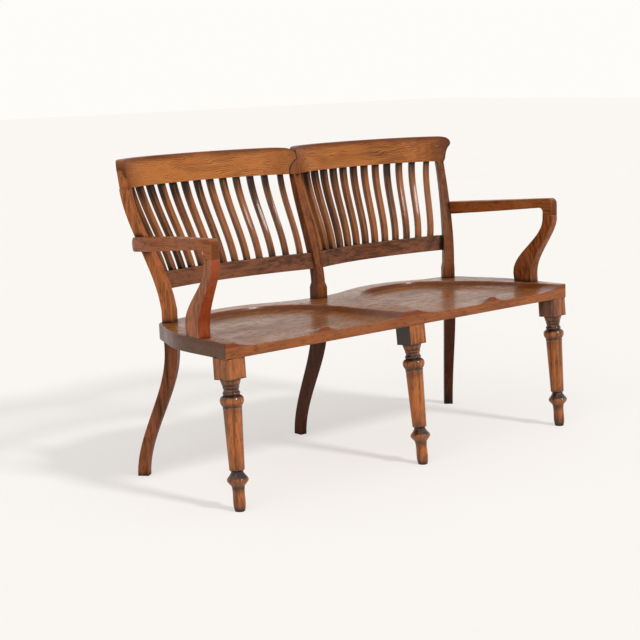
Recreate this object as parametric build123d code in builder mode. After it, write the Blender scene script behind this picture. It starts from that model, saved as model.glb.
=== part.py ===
from build123d import *
from math import atan, cos, degrees, radians, sin, sqrt, tan
import os

# Chair-back settee: two chair backs side by side over one long saddled seat.
# X runs across the settee, Y from front to back and Z up, in millimetres, with the floor at zero.
# A depth is measured backwards from the front edge of the seat.
# A right-hand piece is drawn, and its left-hand twin is its mirror image.

# Seat board
seat_height = 445.0
seat_thickness = 43.0
seat_half_width = 657.0
seat_depth = 491.0
front_y = -287.8
seat_fall = 0.7
seat_edge_round = 3.0
seat_corner_round = 4.0
seat_outline_shares = [(1, 0), (0.997, 0.265), (0.976, 0.534), (0.921, 0.723), (0.88, 0.838),
                       (0.822, 0.882), (0.732, 0.9), (0.609, 0.965), (0.472, 1), (0.32, 0.978),
                       (0.158, 0.902), (0, 0.872)]

# Hollows of the seat, as shares of the half width and the depth of the seat
hollow_depth = 16.5
hollow_rim_shares = [(0.021, -0.06), (0.056, 0.1), (0.084, 0.29), (0.1, 0.45), (0.135, 0.62),
                     (0.24, 0.8), (0.35, 0.876), (0.5, 0.897), (0.62, 0.872), (0.745, 0.7),
                     (0.836, 0.53), (0.893, 0.33), (0.938, 0.16), (0.962, -0.06)]
hollow_floor_shares = [(0.18, -0.06), (0.18, 0.1), (0.178, 0.29), (0.172, 0.45), (0.195, 0.62),
                       (0.272, 0.772), (0.365, 0.84), (0.5, 0.862), (0.605, 0.835), (0.71, 0.68),
                       (0.785, 0.51), (0.815, 0.33), (0.83, 0.16), (0.826, -0.06)]
hollow_wall_shares = [(0, 0), (0.6, 0.3), (1, 1), (1.12, 1.5)]
pommel_x_share = 0.495
pommel_rim_shares = [(0.03, -0.06), (0, 0.012), (-0.03, -0.06)]
pommel_floor_shares = [(0.11, -0.06), (0, 0.16), (-0.11, -0.06)]

# Back, shared by posts, rails and slats
back_height = 891.0
crest_bottom = 811.0
rail_top = 576.0
rail_height = 47.0

# Crest rails
crest_length = 632.0
crest_foot_thickness = 28.0
crest_head_thickness = 21.0
crest_depth = 582.0
crest_lean = 11.0
crest_bend_radius = 784.0
crest_bend_centre = 304.0
crest_outer_flare = 43.0
crest_inner_flare = 23.0
crest_flare_power = 8
ear_reach = 22.0
ear_height = 57.0
ear_overhang = 22.0
ear_joint_shares = [(1, 0), (0.84, 0.35), (0.35, 0.67), (0, 0.93)]
ear_top_shares = [(0, 1), (0.22, 1.2), (0.6, 1.33), (1.2, 1.385), (2.1, 1.4)]
ear_side_shares = [(0, 0), (0.2, 0.18), (0.3, 0.4), (0.45, 0.62), (0.7, 0.81), (1, 1), (0.95, 1.15),
                   (0.65, 1.3), (0.1, 1.38), (-0.6, 1.4)]
bend_shares = [0, 0.06, 0.16, 0.3, 0.48, 0.66, 0.8, 0.9, 1]

# Lower rails
rail_thickness = 24.0
rail_depth = 505.0
rail_lean = 15.0
rail_tilt = 5.0
rail_end_depth = 438.0
rail_bend_radius = 560.0
rail_bend_centre = 295.0
rail_inner_end = 6.0
rail_outer_end = 552.0
rail_tenon_length = 12.0
rail_tenon_height = 33.0
rail_tenon_thickness = 8.0
rail_tenon_forward = 5.0

# Slats
slat_count = 13
slat_foot_first = 38.0
slat_foot_pitch = 40.4
slat_head_first = 37.0
slat_head_pitch = 45.0
slat_width = 16.5
slat_foot_thickness = 18.0
slat_head_thickness = 21.0
slat_head_setback = 3.0
slat_sway_shares = (0.756, 0.62, -0.376)
slat_tenon_length = 16.0
slat_tenon_width = 13.0
slat_tenon_thickness = 8.0

# Posts of the back
outer_post_x = 547.0
outer_post_depth = 404.0
outer_post_sway_out = 62.0
centre_post_depth = 409.0
post_sway_back = 104.0
post_sway_low = 465.0
post_sway_high = 880.0
post_turn = 30.0
outer_post_foot_width = 38.0
outer_post_foot_depth = 32.0
outer_post_low_width = 33.0
outer_post_low_depth = 34.0
outer_post_head_width = 24.0
outer_post_head_depth = 29.0
post_head_height = 53.0
centre_post_foot_width = 39.0
centre_post_foot_depth = 38.0
centre_post_low_width = 28.0
centre_post_low_depth = 35.0
centre_post_head_width = 26.0
centre_post_head_depth = 27.0
post_foot_top = 474.0
post_shoulder_height = 14.0
post_tenon_radius = 11.0
post_tenon_length = 17.0
keystone_half_width = 22.0
keystone_height = 46.0
keystone_side_shares = [(1, 0), (0.8, 0.5), (0.45, 0.75), (0, 1)]
post_level_shares = [0, 0.17, 0.34, 0.5, 0.67, 0.84, 1]

# Rear legs
rear_leg_depth = 399.0
centre_rear_leg_depth = 410.0
rear_leg_sway_out = 63.0
rear_leg_sway_back = 74.0
centre_leg_sway_back = 106.0
rear_leg_sway_top = 360.0
rear_leg_turn = 40.0
rear_leg_head_width = 37.0
rear_leg_head_depth = 36.0
rear_leg_foot_width = 28.0
rear_leg_foot_depth = 32.0
centre_leg_head_width = 33.0
centre_leg_head_depth = 41.0
centre_leg_foot_width = 24.0
centre_leg_foot_depth = 33.0
rear_leg_level_shares = [1, 0.86, 0.7, 0.54, 0.38, 0.22, 0.1, 0]

# Front legs
front_leg_x = 624.0
front_leg_depth = 31.0
front_leg_splay = 29.0
front_leg_spread = 4.0
centre_leg_x = 18.0
centre_leg_splay = 44.0
leg_block_size = 60.0
leg_block_bottom = 347.0
leg_turning_shares = [
    [(0.387, -0.0072), (0.444, 0.0086), (0.524, 0.1729), (0.556, 0.1902)],
    [(0.556, 0.1902), (0.762, 0.2133), (0.905, 0.2392), (0.794, 0.2594), (0.714, 0.2666)],
    [(0.714, 0.2666), (0.619, 0.2795), (0.517, 0.2939)],
    [(0.517, 0.2939), (0.517, 0.3055)],
    [(0.517, 0.3055), (0.641, 0.3141)],
    [(0.641, 0.3141), (0.787, 0.7781)],
    [(0.787, 0.7781), (0.813, 0.7853), (0.781, 0.7925)],
    [(0.781, 0.7925), (0.952, 0.8184), (1, 0.8415), (0.937, 0.8617), (0.762, 0.8746)],
    [(0.762, 0.8746), (0.683, 0.879)],
    [(0.683, 0.879), (0.724, 0.8876), (0.73, 0.8963), (0.667, 0.9049)],
    [(0.667, 0.9049), (0.635, 0.9164), (0.635, 0.9265)],
    [(0.635, 0.9265), (0.686, 0.9337), (0.683, 0.9452)],
    [(0.683, 0.9452), (0.778, 0.9683), (0.873, 1)]]
leg_bulb_radius = 31.5
leg_tenon_radius = 15.0
leg_tenon_length = 19.0
left_leg_turn = 8.0
centre_leg_turn = -1.0
right_leg_turn = 5.0

# Arms
arm_front_depth = 38.0
arm_middle_depth = 255.0
arm_joint_height = 657.0
arm_head_height = 51.0
arm_rear_rise = 23.0
arm_post_lap = 25.6931
arm_front_height = 31.0
arm_middle_drop = 17.0
arm_rear_height = 40.0
arm_knuckle_depth = 38.0
arm_knuckle_drop = 7.0
arm_nose_radius = 17.0
arm_throat_radius = 13.0
arm_throat_share = 0.29
arm_edge_round = 4.0
arm_front_width = 30.0
arm_outer_x = 661.0
arm_outer_shares = [(0.998, 0.06), (1, 0.126), (0.991, 0.314), (0.973, 0.535), (0.968, 0.734),
                    (0.9455, 0.9455)]
arm_inner_shares = [(0.957, 0.06), (0.95, 0.21), (0.917, 0.377), (0.896, 0.535), (0.8865, 0.734),
                    (0.885, 0.9015)]
arm_tip_share = 0.926

# Arm supports
support_base_x = 635.0
support_base_depth = 147.0
support_top_x = 646.0
support_top_depth = 57.0
support_base_width = 36.0
support_base_length = 69.0
support_top_width = 27.0
support_top_length = 37.0
support_sway_low = 475.0
support_sway_high = 645.0
support_waist_low = 480.0
support_waist_high = 620.0
support_turn = 5.0
support_tenon_radius = 11.0
support_tenon_length = 22.0
support_level_shares = [0, 0.15, 0.3, 0.45, 0.6, 0.75, 0.88, 1]

# Hidden fastenings
crest_dowel_radius = 3.0
crest_dowel_length = 28.0
post_dowel_inset = 6.0
arm_dowel_radius = 5.0
arm_dowel_length = 44.0
screw_shank_radius = 2.2
screw_head_radius = 4.6
screw_head_height = 3.0
arm_screw_length = 50.0

# Fits
glue_gap = 0.2
piece_round = 2.5
overrun = 40.0

os.makedirs("parts", exist_ok=True)


def smooth(level, low, high):
    """An S-curve that rises from 0 at low to 1 at high and stays level beyond them."""
    share = min(max((level - low) / (high - low), 0), 1)
    return share * share * (3 - 2 * share)


def mix(first, last, share):
    """The size that lies a share of the way from one size to another."""
    return first + (last - first) * share


def save(piece, name):
    piece.part.label = name
    export_step(piece.part, f"parts/{name}.step")


def save_mirrored(piece, name):
    """The same piece for the left side of the settee."""
    with BuildPart() as other:
        mirror(piece.part, about=Plane.YZ)
    save(other, name)


def turned_level(x, depth, height, turn=0):
    """A level plane whose own X is turned in plan by an angle in degrees."""
    across = Vector(cos(radians(turn)), sin(radians(turn)), 0)
    return Plane(origin=(x, front_y + depth, height), x_dir=across, z_dir=(0, 0, 1))


def mirrored_plane(plane):
    """The same plane on the left side of the settee."""
    return Plane(origin=(-plane.origin.X, plane.origin.Y, plane.origin.Z),
                 x_dir=(-plane.x_dir.X, plane.x_dir.Y, plane.x_dir.Z),
                 z_dir=(-plane.z_dir.X, plane.z_dir.Y, plane.z_dir.Z))


def level_section(plane, width, deep):
    """One level of a bandsawn piece: a rectangle with eased corners."""
    with BuildSketch(plane) as section:
        RectangleRounded(width, deep, piece_round)
    return section.sketch


def round_face(plane, radius):
    with BuildSketch(plane) as face:
        Circle(radius)
    return face.sketch


def square_face(plane, width, height):
    with BuildSketch(plane) as face:
        Rectangle(width, height)
    return face.sketch


# Planes of the seat board, which falls slightly to the back

seat_normal = Vector(0, sin(radians(seat_fall)), cos(radians(seat_fall)))
seat_top = Plane(origin=(0, front_y, seat_height), x_dir=(1, 0, 0), z_dir=seat_normal)
seat_bottom = seat_top.offset(-seat_thickness)


def seat_top_level(depth):
    return seat_height - depth * tan(radians(seat_fall))


def seat_bottom_level(depth):
    return seat_top_level(depth) - seat_thickness / cos(radians(seat_fall))


# Curves of the back, in plan

def crest_depth_at(x):
    """Depth of the middle of the crest rail at its foot: a wide arc whose two ends flare forwards."""
    offset = x - crest_bend_centre
    if offset > 0:
        span, flare = crest_length - crest_bend_centre, crest_outer_flare
    else:
        span, flare = crest_bend_centre, crest_inner_flare
    bend = offset ** 2 / (2 * crest_bend_radius)
    return crest_depth - bend - flare * (offset / span) ** crest_flare_power


def rail_depth_at(x):
    """Depth of the middle of the lower rail at its top."""
    return rail_depth - (x - rail_bend_centre) ** 2 / (2 * rail_bend_radius)


def slope_at(curve, x):
    """How much a curve in plan gains in depth for each unit to the right."""
    return (curve(x + piece_round) - curve(x - piece_round)) / (2 * piece_round)


def bent_points(curve, start, end, side, moved_back):
    """Points of one face of a bent board: its curve moved sideways by the given distance."""
    points = []
    for share in bend_shares:
        x = mix(start, end, share)
        slope = slope_at(curve, x)
        length = sqrt(1 + slope ** 2)
        points.append((x - side * slope / length, front_y + curve(x) + side / length + moved_back))
    return points


def bent_band(height, curve, start, end, thickness, moved_back=0):
    """The outline in plan of a bent board."""
    with BuildSketch(Plane.XY.offset(height)) as band:
        with BuildLine():
            front = Spline(*bent_points(curve, start, end, -thickness / 2, moved_back))
            back = Spline(*bent_points(curve, start, end, thickness / 2, moved_back))
            Line(front @ 0, back @ 0)
            Line(front @ 1, back @ 1)
        make_face()
    return band.sketch


def rail_top_plane():
    """Upper face of the lower rails, level at their ends and falling to the back, where they bend."""
    tilt = radians(rail_tilt)
    return Plane(origin=(0, front_y + rail_end_depth, rail_top), x_dir=(1, 0, 0),
                 z_dir=(0, sin(tilt), cos(tilt)))


def slat_foot_plane(number):
    """Where a slat stands on the lower rail, turned square to it."""
    x = slat_foot_first + slat_foot_pitch * number
    top, turn = rail_top_plane(), atan(slope_at(rail_depth_at, x))
    return Plane(origin=top.from_local_coords(Vector(x, rail_depth_at(x) - rail_end_depth, 0)),
                 x_dir=top.x_dir * cos(turn) + top.y_dir * sin(turn), z_dir=top.z_dir)


def slat_head_plane(number):
    """Where a slat meets the crest rail, turned square to it."""
    x = slat_head_first + slat_head_pitch * number
    return turned_level(x, crest_depth_at(x) + slat_head_setback, crest_bottom,
                        degrees(atan(slope_at(crest_depth_at, x))))


# Posts, drawn with a gap where they are used to cut the pieces that meet them

def outer_post_spot(height):
    """Middle of the outer post at a height: it sways back and outwards as it rises."""
    x = outer_post_x + outer_post_sway_out * smooth(height, seat_height, crest_bottom)
    return x, outer_post_depth + post_sway_back * smooth(height, post_sway_low, post_sway_high)


def centre_post_spot(height):
    return 0, centre_post_depth + post_sway_back * smooth(height, post_sway_low, post_sway_high)


def post_blank(spot, turn, foot_size, low_size, head_size, top, gap):
    """A bandsawn post with a square foot, a short shoulder and a swaying upper length."""
    shoulder_top = post_foot_top + post_shoulder_height
    foot_x, foot_depth = spot(seat_height)
    foot = level_section(turned_level(foot_x, foot_depth, post_foot_top, turn),
                         foot_size[0] + 2 * gap, foot_size[1] + 2 * gap)
    levels = []
    for share in post_level_shares:
        height = mix(shoulder_top, top, share)
        narrowing = smooth(height, post_foot_top, crest_bottom)
        levels.append(level_section(turned_level(*spot(height), height, turn),
                                    mix(low_size[0], head_size[0], narrowing) + 2 * gap,
                                    mix(low_size[1], head_size[1], narrowing) + 2 * gap))
    with BuildPart() as post:
        extrude(foot, amount=-(post_foot_top - seat_height + overrun))
        loft([foot, levels[0]], ruled=True)
        loft(levels)
    return post.part


def outer_post_blank(gap):
    return post_blank(outer_post_spot, -post_turn,
                      (outer_post_foot_width, outer_post_foot_depth),
                      (outer_post_low_width, outer_post_low_depth),
                      (outer_post_head_width, outer_post_head_depth), crest_bottom, gap)


def centre_post_blank(gap):
    return post_blank(centre_post_spot, 0,
                      (centre_post_foot_width, centre_post_foot_depth),
                      (centre_post_low_width, centre_post_low_depth),
                      (centre_post_head_width, centre_post_head_depth), crest_bottom, gap)


# Crest rails

def post_side(out):
    """Plane along the outer side of the outer post where it carries the crest rail, moved outwards."""
    x, depth = outer_post_spot(crest_bottom)
    outwards = Vector(cos(radians(post_turn)), -sin(radians(post_turn)), 0)
    middle = Vector(x, front_y + depth, crest_bottom)
    return Plane(origin=middle + outwards * (outer_post_head_width / 2 + out), z_dir=outwards)


def ear_side_face():
    """Outline of the crest rail and post head from in front of the ear, which overhangs the post."""
    side = post_side(0)
    with BuildSketch(Plane(origin=side.origin, x_dir=side.z_dir,
                           z_dir=side.z_dir.cross(Vector(0, 0, 1)))) as face:
        with BuildLine():
            ear = Spline(*[(ear_overhang * out, ear_height * up) for out, up in ear_side_shares])
            far = -crest_length - overrun
            Polyline(ear @ 1, (far, (ear @ 1).Y), (far, -overrun), (0, -overrun), ear @ 0)
        make_face()
    return face.sketch


def crest_board(gap):
    """The bent and leaning board of one crest rail, cut to its ear but not yet to its joints."""
    thinning = (crest_foot_thickness - crest_head_thickness) / (back_height - crest_bottom)
    bands = []
    for height in (crest_bottom, back_height + overrun):
        rise = height - crest_bottom
        bands.append(bent_band(height, crest_depth_at, -overrun / 2, crest_length + overrun / 2,
                               crest_foot_thickness - thinning * rise + 2 * gap,
                               rise * tan(radians(crest_lean))))
    with BuildPart() as board:
        loft(bands, ruled=True)
        extrude(ear_side_face(), amount=crest_length + overrun, both=True, mode=Mode.INTERSECT)
    return board.part


def front_outline_plane():
    """Upright plane at the front edge of the seat, seen from the front."""
    return Plane.XZ.offset(-front_y)


def keystone_block(gap):
    """The bullet-shaped head of the centre post, flush with the faces of both crest rails."""
    with BuildPart() as block:
        add(crest_board(-gap))
        with BuildSketch(front_outline_plane()):
            with BuildLine():
                half_width = keystone_half_width - gap
                right = Spline(*[(half_width * reach, crest_bottom + keystone_height * rise)
                                 for reach, rise in keystone_side_shares])
                Polyline(right @ 1, (0, crest_bottom), right @ 0)
            make_face()
        extrude(amount=-(crest_depth + overrun), mode=Mode.INTERSECT)
        mirror(about=Plane.YZ)
    return block.part


def crest_blank(gap):
    """One crest rail cut to its front outline, with a gap where it meets the posts."""
    with BuildPart() as blank:
        add(crest_board(gap))
        with BuildSketch(front_outline_plane()):
            with BuildLine():
                outer = Spline(*[(crest_length - ear_reach * reach + gap,
                                  crest_bottom + ear_height * rise - gap)
                                 for reach, rise in ear_joint_shares])
                inner = Spline(*[(glue_gap / 2 + ear_reach * reach, crest_bottom + ear_height * rise)
                                 for reach, rise in ear_top_shares])
                far, top = crest_length + overrun, back_height + overrun
                Polyline(outer @ 1, (far, (outer @ 1).Y), (far, top), ((inner @ 1).X, top), inner @ 1)
                Polyline(inner @ 0, (glue_gap / 2, crest_bottom - gap), outer @ 0)
            make_face()
        extrude(amount=-(crest_depth + overrun), mode=Mode.INTERSECT)
        add(keystone_block(-glue_gap), mode=Mode.SUBTRACT)
    return blank.part


def keystone_dowel_plane():
    """Middle of the dowel between the keystone and the right crest rail, facing along the rail."""
    reach, rise = keystone_side_shares[1]
    x = keystone_half_width * reach
    depth = crest_depth_at(x) + keystone_height * rise * tan(radians(crest_lean))
    return Plane(origin=(x, front_y + depth, crest_bottom + keystone_height * rise),
                 z_dir=Vector(1, slope_at(crest_depth_at, x), 0))


def post_dowel_plane():
    """Middle of the upright dowel between the outer post and the crest rail that lies on it."""
    x = crest_length - ear_reach - post_dowel_inset
    return turned_level(x, crest_depth_at(x), crest_bottom)


def two_way_hole(plane, radius, length):
    """Clearance for a dowel that is centred on the plane, cut from the part being made."""
    extrude(round_face(plane, radius + glue_gap), amount=length / 2 + glue_gap, both=True,
            mode=Mode.SUBTRACT)


with BuildPart() as crest_rail:
    add(crest_blank(0))
    for number in range(slat_count):
        with BuildSketch(slat_head_plane(number)):
            Rectangle(slat_tenon_width + 2 * glue_gap, slat_tenon_thickness + 2 * glue_gap)
        extrude(amount=slat_tenon_length + glue_gap, mode=Mode.SUBTRACT)
    two_way_hole(keystone_dowel_plane(), crest_dowel_radius, crest_dowel_length)
    two_way_hole(post_dowel_plane(), crest_dowel_radius, crest_dowel_length)

save(crest_rail, "crest_rail_right")
save_mirrored(crest_rail, "crest_rail_left")


# Lower rails

rail_drop = tan(radians(rail_lean)) * rail_height / 2


def rail_tenon_plane(x, outwards):
    """Plane square to the rail at one end, at the middle of its tenon, facing into the post."""
    slope = slope_at(rail_depth_at, x)
    along = Vector(1, slope, 0).normalized() * outwards
    depth = rail_depth_at(x) - rail_drop - rail_tenon_forward
    return Plane(origin=(x, front_y + depth, rail_top - rail_height / 2),
                 x_dir=Vector(-slope, 1, 0).normalized(), z_dir=along)


inner_tenon = rail_tenon_plane(centre_post_low_width / 2, -1)
outer_tenon = rail_tenon_plane(rail_outer_end, 1)

with BuildPart() as rail_board:
    upright_lean = radians(rail_lean - rail_tilt)
    extrude(bent_band(rail_top, rail_depth_at, -overrun, rail_outer_end + overrun, rail_thickness),
            amount=rail_height / cos(radians(rail_lean)),
            dir=(0, -sin(upright_lean), -cos(upright_lean)))

with BuildPart() as lower_rail:
    add(rail_board.part.rotate(Axis(rail_top_plane().origin, (1, 0, 0)), -rail_tilt))
    split(bisect_by=Plane.YZ.offset(rail_inner_end), keep=Keep.TOP)
    split(bisect_by=Plane.YZ.offset(rail_outer_end), keep=Keep.BOTTOM)
    add(outer_post_blank(glue_gap), mode=Mode.SUBTRACT)
    add(centre_post_blank(glue_gap), mode=Mode.SUBTRACT)
    for tenon in (inner_tenon, outer_tenon):
        with BuildSketch(tenon.offset(-rail_tenon_length / 2)):
            Rectangle(rail_tenon_thickness, rail_tenon_height)
        extrude(amount=rail_tenon_length * 3 / 2 - glue_gap)
    for number in range(slat_count):
        with BuildSketch(slat_foot_plane(number)):
            Rectangle(slat_tenon_width + 2 * glue_gap, slat_tenon_thickness + 2 * glue_gap)
        extrude(amount=-(slat_tenon_length + glue_gap), mode=Mode.SUBTRACT)

save(lower_rail, "lower_rail_right")
save_mirrored(lower_rail, "lower_rail_left")


# Slats

def slat_sway(share):
    first, second, third = slat_sway_shares
    return share * (first + share * (second + share * third))


def slat_level(foot, head, share):
    """Level plane a share of the way up a slat, which turns and sways between its foot and head."""
    spot = foot.origin + (head.origin - foot.origin) * share
    across = foot.x_dir * (1 - share) + head.x_dir * share
    return Plane(origin=(spot.X, mix(foot.origin.Y, head.origin.Y, slat_sway(share)), spot.Z),
                 x_dir=(across.X, across.Y, 0), z_dir=(0, 0, 1))


for number in range(slat_count):
    foot, head = slat_foot_plane(number), slat_head_plane(number)
    levels = [level_section(foot, slat_width, slat_foot_thickness)]
    for share in (1 / 4, 1 / 2, 3 / 4):
        levels.append(level_section(slat_level(foot, head, share), slat_width,
                                    mix(slat_foot_thickness, slat_head_thickness, share)))
    levels.append(level_section(head, slat_width, slat_head_thickness))
    with BuildPart() as slat:
        loft(levels)
        for spot, away in ((foot, -1), (head, 1)):
            with BuildSketch(spot):
                Rectangle(slat_tenon_width, slat_tenon_thickness)
            extrude(amount=away * slat_tenon_length)
    save(slat, f"slat_right_{number + 1:02d}")
    save_mirrored(slat, f"slat_left_{number + 1:02d}")


# Posts

def rail_mortise(tenon):
    """The hole for a tenon of the lower rail, cut from the part being made."""
    face = square_face(tenon.offset(-rail_tenon_length),
                       rail_tenon_thickness + 2 * glue_gap, rail_tenon_height + 2 * glue_gap)
    extrude(face, amount=2 * rail_tenon_length + glue_gap, mode=Mode.SUBTRACT)


def seat_tenon_plane(x, depth):
    return Plane(origin=(x, front_y + depth, seat_top_level(depth)), z_dir=-seat_normal)


def seat_tenon(x, depth, radius, length):
    """A round tenon that goes down into the seat."""
    extrude(round_face(seat_tenon_plane(x, depth), radius), amount=length)


arm_front_top = arm_joint_height + arm_head_height
arm_rear_top = arm_joint_height + arm_rear_rise
arm_screw_height = arm_rear_top - arm_rear_height / 2


def arm_screw_plane():
    """Seat of the screw on the inner side of the outer post, facing outwards into the arm."""
    x, depth = outer_post_spot(arm_screw_height)
    outwards = Vector(cos(radians(post_turn)), -sin(radians(post_turn)), 0)
    narrowing = smooth(arm_screw_height, post_foot_top, crest_bottom)
    inset = mix(outer_post_low_width, outer_post_head_width, narrowing) / 2
    side = Vector(x, front_y + depth, arm_screw_height) - outwards * inset
    return Plane(origin=side, x_dir=(0, 0, 1), z_dir=outwards)


def screw_hole(plane, length):
    """Clearance for a sunk screw: its head's recess and its shank, cut from the part being made."""
    extrude(round_face(plane.offset(-overrun), screw_head_radius + glue_gap),
            amount=overrun + screw_head_height + glue_gap, mode=Mode.SUBTRACT)
    extrude(round_face(plane, screw_shank_radius + glue_gap), amount=length + glue_gap,
            mode=Mode.SUBTRACT)


def post_head():
    """The thin head of the outer post, flush with the crest rail whose end it carries."""
    with BuildPart() as head:
        add(crest_board(0))
        with BuildSketch(front_outline_plane()):
            with BuildLine():
                Polyline((crest_length - ear_reach, crest_bottom),
                         (crest_length + overrun, crest_bottom),
                         (crest_length + overrun, crest_bottom + post_head_height),
                         (crest_length - ear_reach, crest_bottom + post_head_height), close=True)
            make_face()
        extrude(amount=-(crest_depth + overrun), mode=Mode.INTERSECT)
    return head.part


with BuildPart() as outer_post:
    add(outer_post_blank(0))
    split(bisect_by=seat_top, keep=Keep.TOP)
    seat_tenon(outer_post_x, outer_post_depth, post_tenon_radius, post_tenon_length)
    add(post_head())
    add(crest_blank(glue_gap), mode=Mode.SUBTRACT)
    rail_mortise(outer_tenon)
    two_way_hole(post_dowel_plane(), crest_dowel_radius, crest_dowel_length)
    screw_hole(arm_screw_plane(), arm_screw_length)

save(outer_post, "back_post_right")
save_mirrored(outer_post, "back_post_left")

with BuildPart() as centre_post:
    add(centre_post_blank(0))
    split(bisect_by=seat_top, keep=Keep.TOP)
    seat_tenon(0, centre_post_depth, post_tenon_radius, post_tenon_length)
    add(keystone_block(0))
    rail_mortise(inner_tenon)
    rail_mortise(mirrored_plane(inner_tenon))
    two_way_hole(keystone_dowel_plane(), crest_dowel_radius, crest_dowel_length)
    two_way_hole(mirrored_plane(keystone_dowel_plane()), crest_dowel_radius, crest_dowel_length)

save(centre_post, "back_post_center")


# Legs

def rear_leg_blank(head_spot, foot_spot, turn, head_size, foot_size):
    """A bandsawn rear leg that sways backwards to the floor."""
    levels = []
    for share in rear_leg_level_shares:
        height = share * seat_height
        sway = 1 - smooth(height, 0, rear_leg_sway_top)
        levels.append(level_section(turned_level(mix(head_spot[0], foot_spot[0], sway),
                                                 mix(head_spot[1], foot_spot[1], sway), height, turn),
                                    mix(head_size[0], foot_size[0], sway),
                                    mix(head_size[1], foot_size[1], sway)))
    with BuildPart() as leg:
        loft(levels)
        split(bisect_by=seat_bottom, keep=Keep.BOTTOM)
    return leg.part


def rear_leg_head_plane(x, depth):
    """Where a rear leg meets the underside of the seat, facing up."""
    return Plane(origin=(x, front_y + depth, seat_bottom_level(depth)), z_dir=seat_normal)


with BuildPart() as rear_leg:
    add(rear_leg_blank((outer_post_x, rear_leg_depth),
                       (outer_post_x + rear_leg_sway_out, rear_leg_depth + rear_leg_sway_back),
                       -rear_leg_turn, (rear_leg_head_width, rear_leg_head_depth),
                       (rear_leg_foot_width, rear_leg_foot_depth)))
    extrude(round_face(rear_leg_head_plane(outer_post_x, rear_leg_depth), leg_tenon_radius),
            amount=leg_tenon_length)

save(rear_leg, "rear_leg_right")
save_mirrored(rear_leg, "rear_leg_left")

with BuildPart() as centre_rear_leg:
    add(rear_leg_blank((0, centre_rear_leg_depth),
                       (0, centre_rear_leg_depth + centre_leg_sway_back),
                       0, (centre_leg_head_width, centre_leg_head_depth),
                       (centre_leg_foot_width, centre_leg_foot_depth)))
    extrude(round_face(rear_leg_head_plane(0, centre_rear_leg_depth), leg_tenon_radius),
            amount=leg_tenon_length)

save(centre_rear_leg, "rear_leg_center")

front_leg_spots = {"left": ((-front_leg_x, front_leg_depth),
                            (-front_leg_x - front_leg_spread, front_leg_depth - front_leg_splay)),
                   "center": ((centre_leg_x, front_leg_depth),
                              (centre_leg_x, front_leg_depth - centre_leg_splay)),
                   "right": ((front_leg_x, front_leg_depth),
                             (front_leg_x + front_leg_spread, front_leg_depth - front_leg_splay))}
front_leg_turns = {"left": left_leg_turn, "center": centre_leg_turn, "right": right_leg_turn}


def front_leg_axis(side):
    """The middle of the foot on the floor, the middle of the head and the direction between them."""
    head_spot, foot_spot = front_leg_spots[side]
    foot = Vector(foot_spot[0], front_y + foot_spot[1], 0)
    head = Vector(head_spot[0], front_y + head_spot[1], seat_bottom_level(head_spot[1]))
    return foot, head, (head - foot).normalized()


def leg_tenon_plane(side):
    """Plane square to a front leg inside its block, where the round tenon starts upwards."""
    _, head, upwards = front_leg_axis(side)
    return Plane(origin=head - upwards * leg_tenon_length, z_dir=upwards)


for side in front_leg_spots:
    foot, head, upwards = front_leg_axis(side)
    turn = radians(front_leg_turns[side])
    square = Vector(cos(turn), sin(turn), 0)
    across = (square - upwards * square.dot(upwards)).normalized()
    with BuildPart() as front_leg:
        with BuildSketch(Plane(origin=foot, x_dir=across, z_dir=across.cross(upwards))):
            with BuildLine():
                runs = [[(leg_bulb_radius * out, leg_block_bottom * up) for out, up in run]
                        for run in leg_turning_shares]
                for run in runs:
                    if len(run) == 2:
                        Line(*run)
                    else:
                        Spline(*run)
                foot_radius, foot_level = runs[0][0]
                Polyline(runs[-1][-1], (0, leg_block_bottom), (0, foot_level), (foot_radius, foot_level))
            make_face()
        revolve(axis=Axis(foot, upwards))
        block_foot = Plane(origin=foot + upwards * leg_block_bottom, x_dir=across, z_dir=upwards)
        with BuildSketch(block_foot):
            RectangleRounded(leg_block_size, leg_block_size, piece_round)
        extrude(amount=seat_height - leg_block_bottom)
        split(bisect_by=Plane.XY, keep=Keep.TOP)
        split(bisect_by=seat_bottom, keep=Keep.BOTTOM)
        extrude(round_face(leg_tenon_plane(side), leg_tenon_radius), amount=2 * leg_tenon_length)
    save(front_leg, f"front_leg_{side}")


# Arm supports

def support_spot(height):
    sway = smooth(height, support_sway_low, support_sway_high)
    return (mix(support_base_x, support_top_x, sway), mix(support_base_depth, support_top_depth, sway))


arm_dowel_plane = turned_level(*support_spot(arm_joint_height), arm_joint_height)

with BuildPart() as arm_support:
    levels = []
    for share in support_level_shares:
        height = mix(seat_height - seat_thickness / 2, arm_joint_height, share)
        waist = smooth(height, support_waist_low, support_waist_high)
        levels.append(level_section(turned_level(*support_spot(height), height, support_turn),
                                    mix(support_base_width, support_top_width, waist),
                                    mix(support_base_length, support_top_length, waist)))
    loft(levels)
    split(bisect_by=seat_top, keep=Keep.TOP)
    seat_tenon(support_base_x, support_base_depth, support_tenon_radius, support_tenon_length)
    two_way_hole(arm_dowel_plane, arm_dowel_radius, arm_dowel_length)

save(arm_support, "arm_support_right")
save_mirrored(arm_support, "arm_support_left")


# Arms

arm_rear_depth = outer_post_spot(arm_screw_height)[1] + arm_post_lap


def arm_side_point(depth, height):
    return front_y + depth, height


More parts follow.
